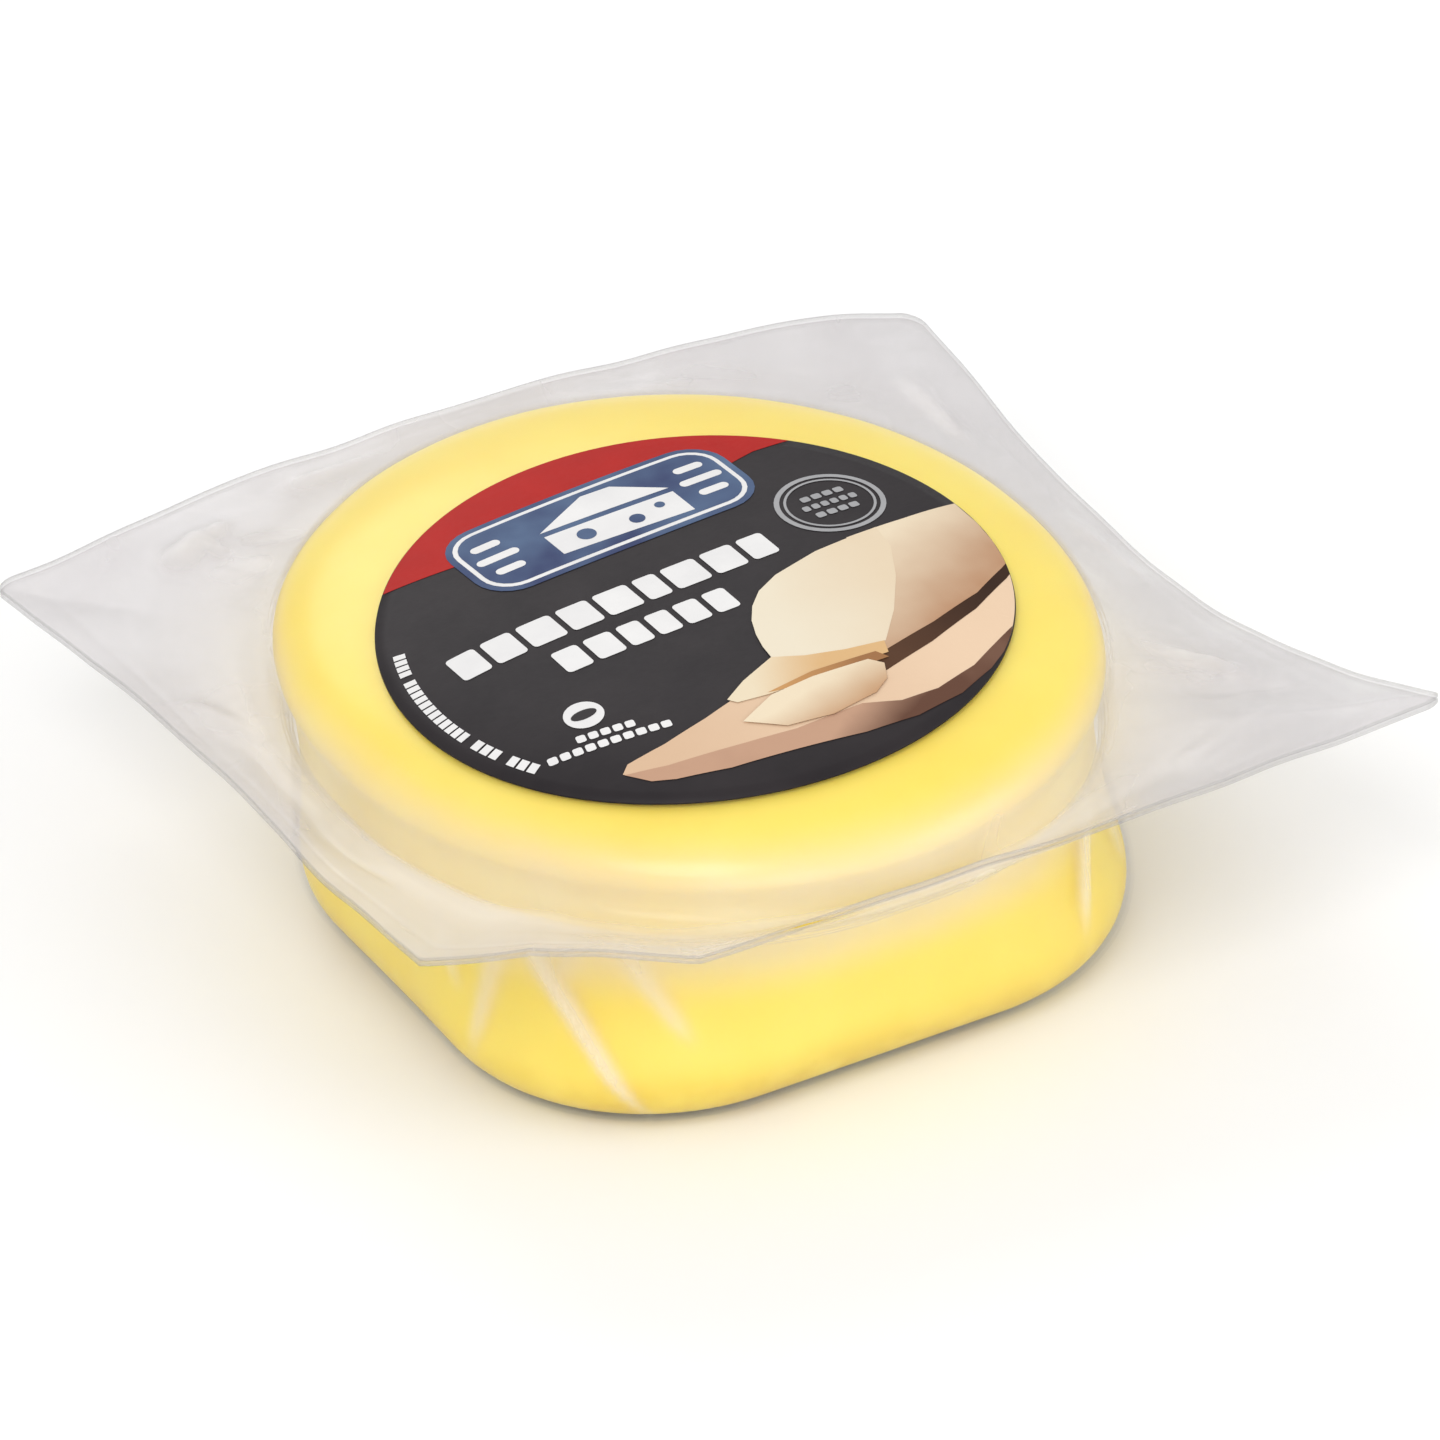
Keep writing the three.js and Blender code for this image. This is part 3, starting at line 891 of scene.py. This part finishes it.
# the cheese and board pictured on the label: name, ink layer, light and dark colour, where each is,
# and the outline, in mm from the label's middle
picture = (
    ("printBoard", 2, (0.76, 0.56, 0.39), (0.64, 0.44, 0.29), (20, -16), (-16, -27),
     ((-20.8, -22.6), (-19.7, -21.6), (-15, -21.1), (-9.4, -19.8), (-5.6, -18.6), (1.6, -14.5),
      (12, -16), (33.6, -8.6), (32.4, -12), (30.6, -15.8), (27.7, -20.2), (25.2, -23.2), (21.5, -25.8),
      (16.5, -28.4), (10.5, -29.7), (4.2, -29.7), (-2.2, -28.8), (-10.8, -27.6), (-16.5, -25.9),
      (-18.7, -24.8))),
    ("printBoardSide", 2.5, (0.5, 0.3, 0.2), (0.12, 0.055, 0.035), (5, -25.6), (8.5, -31),
     ((-20.7, -22.8), (-16.2, -24.2), (-8.1, -25.5), (-2, -26.3), (6, -26), (10, -27.4), (14.5, -27.2),
      (20, -25.2), (27.4, -20.4), (25.2, -23.4), (21.5, -26.2), (16.5, -28.8), (10.5, -30.2),
      (4.2, -30.2), (-2.2, -29.3), (-10.8, -28.1), (-16.5, -26.4), (-18.8, -25.2))),
    ("printShadow", 3, (0.09, 0.04, 0.02), (0.035, 0.015, 0.008), (12.8, -20.4), (28.8, -14.4),
     ((11, -19), (19.9, -16.6), (26.9, -13.6), (32.9, -9.6), (32.3, -11.6), (25.3, -16.4),
      (17.9, -19.9), (10.6, -22.4))),
    ("printBlockSide", 4, (0.76, 0.64, 0.47), (0.46, 0.26, 0.15), (21, 0), (29, -12),
     ((19.7, 1.9), (27, 2.5), (33.9, 3.4), (34.1, -1), (33.8, -5), (32.9, -9.6), (26.9, -13.8),
      (19.9, -16.8), (12, -19.3), (12.6, -16), (16, -11))),
    ("printBlockFace", 5, (0.77, 0.69, 0.54), (0.73, 0.6, 0.43), (6, -6), (20, -8),
     ((1.6, -14.6), (1.8, -12), (2.3, -9.6), (3.2, -7), (4.6, -4.6), (6.6, -2.4), (9.6, -0.6),
      (15.5, 1.2), (23.5, 2.2), (23, -2), (20.6, -7.4), (17.2, -13), (13.6, -17.6), (9, -17),
      (4.8, -15.9))),
    ("printSliceBack", 6, (0.76, 0.65, 0.47), (0.66, 0.42, 0.2), (-1.6, -15.4), (4.4, -19.6),
     ((-6, -18.4), (-3, -16.4), (1.6, -14.2), (4.8, -15.8), (9, -17), (13.4, -17.6), (12.8, -19.6),
      (4.9, -20), (-1.7, -19.9), (-5.3, -19.4))),
    ("printSliceGap", 7, (0.55, 0.29, 0.11), (0.32, 0.15, 0.06), (-0.5, -19.4), (10.5, -19),
     ((-1.7, -19.6), (4, -18.7), (11.6, -18.9), (12.4, -20.4), (4, -20.8))),
    ("printSliceFront", 8, (0.78, 0.66, 0.48), (0.52, 0.31, 0.17), (3, -21), (4, -26),
     ((-6.4, -22.6), (-1.7, -20.2), (3.6, -19.6), (10.2, -19.8), (11.4, -21.2), (10.4, -23.6),
      (8.2, -25.2), (2.5, -26.3), (-2.7, -25.6))),
)


def lay(name, outlines, ink, level):
    inkSolid(name, [refined(outline) for outline in outlines], inks[ink], level * printLook["layer"])


def printBadge():
    # the plaque in three layers, with a wedge of cheese between short bars
    badge, turn = printLook["badge"], printLook["badgeTurn"]
    length, height = printLook["badgeSize"]

    def turned(outlines):
        return [turnedOutline(outline, badge, turn) for outline in outlines]

    for name, ink, inset, corner, level in printLook["badgeLayers"]:
        lay(name, [roundedBar(badge, length - inset, height - inset, turn, corner, 6)], ink, level)
    lay("printWedge", turned(printLook["wedge"]), "white", 5)
    lay("printWedgeHoles", turned(disc(*hole) for hole in printLook["holes"]), "blue", 6)
    bars = turned(roundedBar((side * printLook["barsAt"], up), long, printLook["barHeight"])
                  for side in (-1, 1) for up, long in printLook["bars"])
    lay("printPlaqueBars", bars, "white", 5)


def printRows():
    # plain blocks in the place of words
    head, small = [], []
    for row in printLook["headRows"]:
        head += blockRow(*row, printLook["headGap"])
    lay("printHeadBlocks", head, "white", 2)
    for row in printLook["smallRows"]:
        small += blockRow(*row, printLook["smallGap"], printLook["smallCorner"])
    lay("printSmallBlocks", small, "white", 2)
    dashes = []
    for start, stop, count in printLook["rimRows"]:
        step = (stop - start) / count
        for i in range(count):
            end = start + step * (i + printLook["rimShare"])
            dashes.append(arcBar(printLook["rimRadius"], start + step * i, end, printLook["rimHeight"]))
    lay("printRimBlocks", dashes, "white", 2)


def printStamp():
    x, y = stamp = printLook["stamp"]
    for name, radius, height in printLook["stampRings"]:
        lay(name, ringBars(stamp, radius, height), "grey", 2)
    rows = []
    for up, half in printLook["stampRows"]:
        ends = (x - half, y + up - 0.1), (x + half, y + up + 0.1)
        shares = (1,) * round(half * 1.7)
        rows += blockRow(*ends, 1.0, shares, printLook["stampGap"], printLook["smallCorner"])
    lay("printStampRows", rows, "grey", 2)


def makePrint():
    reach = printLook["reach"]
    rim = [(reach * math.cos(a), reach * math.sin(a))
           for a in np.radians(np.linspace(*printLook["cap"], 40))]
    lay("printRedCap", [[*printLook["capEdge"], *rim]], "red", 1)
    printBadge()
    printRows()
    printStamp()

    x, y = icon = printLook["icon"]
    across, up = printLook["leaf"]
    lay("printIcon", [disc(icon, printLook["iconRadius"])], "white", 2)
    leaf = [(x + across * math.cos(a), y + up * math.sin(a)) for a in np.radians(range(0, 360, 15))]
    lay("printIconLeaf", [leaf], "black", 3)

    for name, level, light, dark, lightAt, darkAt, outline in picture:
        ink = inkMaterial(name + "Ink", light, dark, rough=0.5, scale=75.0, drift=0.32, pictured=True)
        shape = clipToLabel(refined(outline))
        inkSolid(name, [shape], ink, level * printLook["layer"], (lightAt, darkAt))


makePrint()
print("label printed")


studio = {
    "floor": (0.93, 0.93, 0.93, 1),
    "floorRough": 0.8,
    "reach": 6,  # of the floor, in m
    "world": 0.68,
    "lights": (  # name, place in m, size in m, watts; each faces the origin
        ("keyLight", (-0.9, -0.9, 1.5), 1.0, 12.5),
        ("frontLight", (-0.5, -1.5, 0.45), 1.0, 4.5),
        ("fillLight", (1.2, -1.2, 0.8), 1.2, 7),
        ("backLight", (0.2, 1.4, 1.1), 1.2, 7),
    ),
}

view = {
    "lens": 250,
    "sensor": 36,
    "azimuth": -26.7,
    "elevation": 32,
    "roll": 3.4,
    "distance": 1.084,
    "aim": (-0.0014, -0.0057, 0.0212),
}


def makeFloor():
    mesh = bpy.data.meshes.new("studioFloor")
    reach = studio["reach"]
    corners = [(-reach, -reach, 0), (reach, -reach, 0), (reach, reach, 0), (-reach, reach, 0)]
    mesh.from_pydata(corners, [], [(0, 1, 2, 3)])
    material, _, shader = newMaterial("studioPaper")
    shader.inputs["Base Color"].default_value = studio["floor"]
    shader.inputs["Roughness"].default_value = studio["floorRough"]
    mesh.materials.append(material)
    floor = bpy.data.objects.new("studioFloor", mesh)
    bpy.context.collection.objects.link(floor)


def makeLights():
    for name, spot, size, watts in studio["lights"]:
        light = bpy.data.lights.new(name, "AREA")
        light.shape = "DISK"
        light.size = size
        light.energy = watts
        lamp = bpy.data.objects.new(name, light)
        lamp.location = spot
        lamp.rotation_euler = (-Vector(spot)).to_track_quat("-Z", "Y").to_euler()
        bpy.context.collection.objects.link(lamp)
    world = bpy.data.worlds.new("studioWorld")
    world.use_nodes = True
    background = world.node_tree.nodes["Background"]
    background.inputs["Color"].default_value = (1, 1, 1, 1)
    background.inputs["Strength"].default_value = studio["world"]
    bpy.context.scene.world = world
    bpy.context.scene.view_settings.view_transform = "Standard"


def makeCamera():
    # looks back along a direction given by its angles, and is turned a little about it
    azimuth, elevation, roll = (math.radians(view[key]) for key in ("azimuth", "elevation", "roll"))
    back = Vector((math.sin(azimuth) * math.cos(elevation), -math.cos(azimuth) * math.cos(elevation),
                   math.sin(elevation)))
    right = Vector((math.cos(azimuth), math.sin(azimuth), 0))
    up = back.cross(right)
    turned = Matrix.Rotation(roll, 3, -back)
    across, above = turned @ right, turned @ up
    data = bpy.data.cameras.new("camera")
    data.lens = view["lens"]
    data.sensor_width = view["sensor"]
    camera = bpy.data.objects.new("camera", data)
    turn = Matrix((across, above, back)).transposed().to_4x4()
    camera.matrix_world = Matrix.Translation(Vector(view["aim"]) + back * view["distance"]) @ turn
    bpy.context.collection.objects.link(camera)
    bpy.context.scene.camera = camera


makeFloor()
makeLights()
makeCamera()
print("studio ready")
